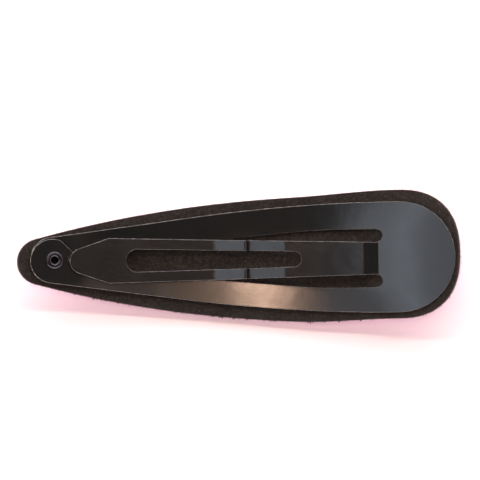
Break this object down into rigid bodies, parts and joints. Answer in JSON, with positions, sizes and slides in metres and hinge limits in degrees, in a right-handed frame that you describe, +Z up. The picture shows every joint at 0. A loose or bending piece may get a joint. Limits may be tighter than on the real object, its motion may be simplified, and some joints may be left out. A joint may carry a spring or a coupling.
{
  "type": "snap hair clip",
  "caption": "Long snap hair clip: a lacquered spring steel blank with a slotted, waved tongue, riveted at its tip and glued to an arched suede pad with a fabric front.",
  "frame": {"origin": "middle of the clip's outline seen from above, on the plane that its arched front rests on", "axes": "+X from the riveted tip to the wide head, +Y across the clip, +Z up, out of the steel side"},
  "size_m": [0.0786, 0.0232, 0.0091],
  "materials": {
    "lacquered_steel": "glossy black lacquer",
    "rivet_metal": "glossy dark plate",
    "suede": "napped, matt",
    "front_fabric": "matt pink fabric"
  },
  "bodies": {
    "clip": {"front_cover": "front_fabric", "suede_pad": "suede", "spring_frame": "lacquered_steel", "rivet": "rivet_metal"},
    "tongue": {"tongue": "lacquered_steel"}
  },
  "joints": [
    {"name": "snap_open", "type": "hinge", "parent": "clip", "child": "tongue", "pos_m": [0.02475, -0.00048, 0.00516], "axis": [0, 1, 0], "range_deg": [0, 18]}
  ]
}
